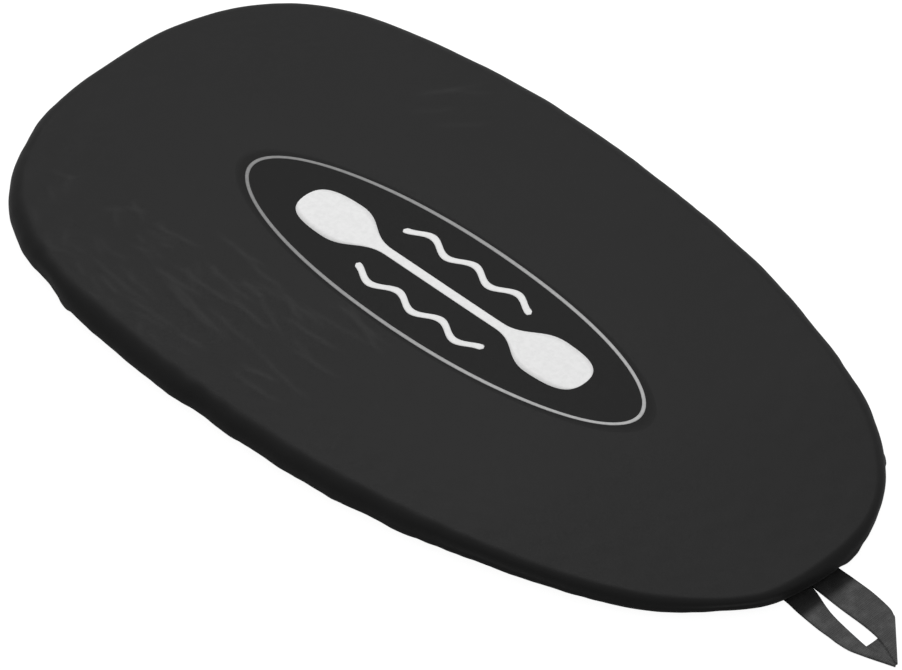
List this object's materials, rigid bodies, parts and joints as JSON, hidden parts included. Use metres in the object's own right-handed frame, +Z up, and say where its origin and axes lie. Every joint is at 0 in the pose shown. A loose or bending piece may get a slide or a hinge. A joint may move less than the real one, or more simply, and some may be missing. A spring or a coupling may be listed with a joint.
{
  "type": "kayak cockpit cover",
  "caption": "Flat egg-shaped nylon cover that snaps over a kayak cockpit coaming, with a rolled rim, drawcord hem, cord lock and webbing grab loop.",
  "frame": {"origin": "middle of the flat underside of the panel, in the plane that lies on the coaming, halfway along and across the rim", "axes": "+X to the bow, the narrow end with the grab loop; +Y to port; +Z up, out of the panel's top"},
  "size_m": [0.966, 0.472, 0.0294],
  "materials": {
    "nylon": "coated woven nylon, satin",
    "binding": "woven nylon tape",
    "thread": "bonded polyester thread",
    "cord": "braided cover on an elastic core",
    "webbing": "flat woven webbing",
    "lock_plastic": "moulded, fine grain",
    "spring_steel": "bright wire",
    "label": "blank woven satin tape",
    "ink_dark": "screen print on nylon",
    "ink_grey": "screen print on nylon",
    "ink_white": "screen print on nylon"
  },
  "bodies": {
    "cover": {"cover_panel": "nylon", "hem_casing": "binding", "hem_needle_thread": "thread", "hem_bobbin_thread": "thread", "shock_cord": "cord", "casing_bartack_port": "thread", "casing_bartack_starboard": "thread", "loop_patch": "binding", "grab_loop_end_port": "webbing", "grab_loop_end_starboard": "webbing", "loop_bartack_port": "thread", "loop_bartack_starboard": "thread", "print_ground": "ink_dark", "print_ring": "ink_grey", "print_paddle": "ink_white", "print_wave_port": "ink_grey", "print_wave_starboard": "ink_grey"},
    "loop": {"grab_loop": "webbing"},
    "tails": {"cord_tail_port": "cord", "cord_tail_starboard": "cord", "cord_end_cap": "lock_plastic"},
    "lock": {"cord_lock_barrel": "lock_plastic", "cord_lock_spring": "spring_steel"},
    "plunger": {"cord_lock_plunger": "lock_plastic"},
    "label": {"care_label": "label"}
  },
  "joints": [
    {"name": "loop_fold", "type": "hinge", "parent": "cover", "child": "loop", "pos_m": [0.436, -0.02, -0.0261], "axis": [0, -1, 0], "range_deg": [-80, 100]},
    {"name": "tail_swing", "type": "hinge", "parent": "cover", "child": "tails", "pos_m": [-0.3855, 0, -0.0197], "axis": [0, 1, 0], "range_deg": [0, 85]},
    {"name": "cord_lock_slide", "type": "slide", "parent": "tails", "child": "lock", "axis": [1, 0, 0], "range_m": [-0.02, 0.02]},
    {"name": "button_press", "type": "slide", "parent": "lock", "child": "plunger", "axis": [0, 1, 0], "range_m": [0, 0.004], "stiffness_N_per_m": 800, "springref_m": -0.002, "deforming": ["cord_lock_spring"]},
    {"name": "label_flap", "type": "hinge", "parent": "cover", "child": "label", "pos_m": [-0.11, 0.201, -0.0229], "axis": [1, 0, 0], "range_deg": [-45, 80]}
  ]
}
